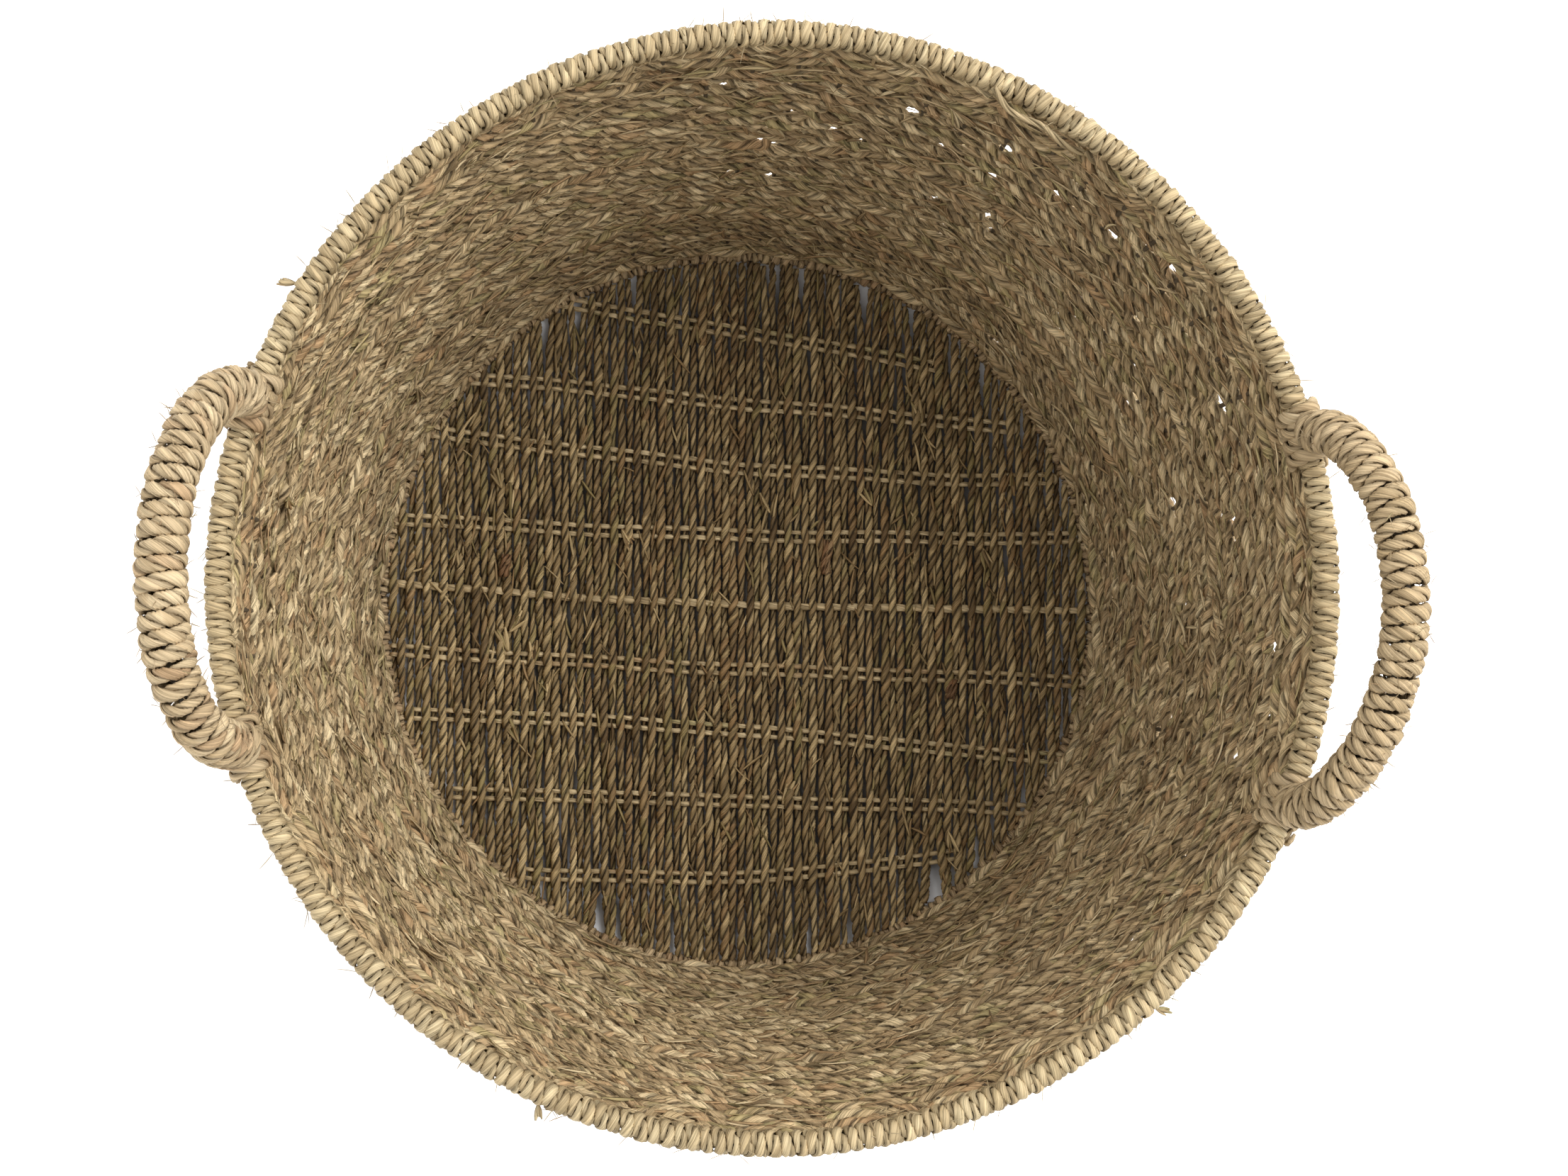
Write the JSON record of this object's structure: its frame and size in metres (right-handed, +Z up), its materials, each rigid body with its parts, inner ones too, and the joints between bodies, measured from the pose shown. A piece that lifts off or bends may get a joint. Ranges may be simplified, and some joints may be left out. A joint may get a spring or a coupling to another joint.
{
  "type": "storage basket",
  "caption": "Round flared storage basket of twisted seagrass cord woven on a wire frame, with a bound rim and upright loop handles.",
  "frame": {"origin": "centre of the underside of the base, on the surface that the basket stands on", "axes": "+Z up; +X towards the right-hand handle (seen from above, it is turned 3.8 degrees clockwise off +X, and the left-hand one 1.2 degrees clockwise off -X); the base cords run along Y"},
  "size_m": [0.4691, 0.4402, 0.3669],
  "materials": {
    "base_cord": "two-ply twisted seagrass, olive brown, dull",
    "wall_cord": "two-ply twisted seagrass, olive to straw, with reddish strands, dull",
    "bar_strand": "thin twisted seagrass strand, dull",
    "foot_binding": "wound seagrass strand, dull",
    "rim_binding": "flat wound seagrass, pale straw with green tints, slight sheen",
    "handle_binding": "thick wound seagrass, warm tan, slight sheen",
    "frame_wire": "dark coated steel wire, satin"
  },
  "bodies": {
    "root": {"base_bar_1": "bar_strand", "base_bar_2": "bar_strand", "base_bar_3": "bar_strand", "base_bar_4": "bar_strand", "base_bar_5": "bar_strand", "base_bar_6": "bar_strand", "base_bar_7": "bar_strand", "base_bar_8": "bar_strand", "base_bar_9": "bar_strand", "base_mat": "base_cord", "base_ring": "frame_wire", "base_ring_wrap": "foot_binding", "handle_core_left": "frame_wire", "handle_core_right": "frame_wire", "handle_lashing_left_1": "handle_binding", "handle_lashing_left_2": "handle_binding", "handle_lashing_right_1": "handle_binding", "handle_lashing_right_2": "handle_binding", "handle_wrap_left": "handle_binding", "handle_wrap_right": "handle_binding", "rim_hoop": "frame_wire", "rim_wrap": "rim_binding", "stake_hairpin_01": "frame_wire", "stake_hairpin_02": "frame_wire", "stake_hairpin_03": "frame_wire", "stake_hairpin_04": "frame_wire", "stake_hairpin_05": "frame_wire", "stake_hairpin_06": "frame_wire", "stake_hairpin_07": "frame_wire", "stake_hairpin_08": "frame_wire", "stake_hairpin_09": "frame_wire", "stake_hairpin_10": "frame_wire", "stake_hairpin_11": "frame_wire", "stake_hairpin_12": "frame_wire", "stake_hairpin_13": "frame_wire", "stake_hairpin_14": "frame_wire", "stake_hairpin_15": "frame_wire", "stake_hairpin_16": "frame_wire", "stake_hairpin_17": "frame_wire", "stake_hairpin_18": "frame_wire", "stake_hairpin_19": "frame_wire", "stake_hairpin_20": "frame_wire", "stake_hairpin_21": "frame_wire", "stake_hairpin_22": "frame_wire", "stake_hairpin_23": "frame_wire", "stake_hairpin_24": "frame_wire", "stake_hairpin_25": "frame_wire", "stake_hairpin_26": "frame_wire", "stake_hairpin_27": "frame_wire", "stake_hairpin_28": "frame_wire", "stake_hairpin_29": "frame_wire", "stake_hairpin_30": "frame_wire", "stake_hairpin_31": "frame_wire", "stake_hairpin_32": "frame_wire", "stake_hairpin_33": "frame_wire", "stake_hairpin_34": "frame_wire", "stake_hairpin_35": "frame_wire", "stake_hairpin_36": "frame_wire", "wall_weave": "wall_cord"}
  },
  "joints": []
}
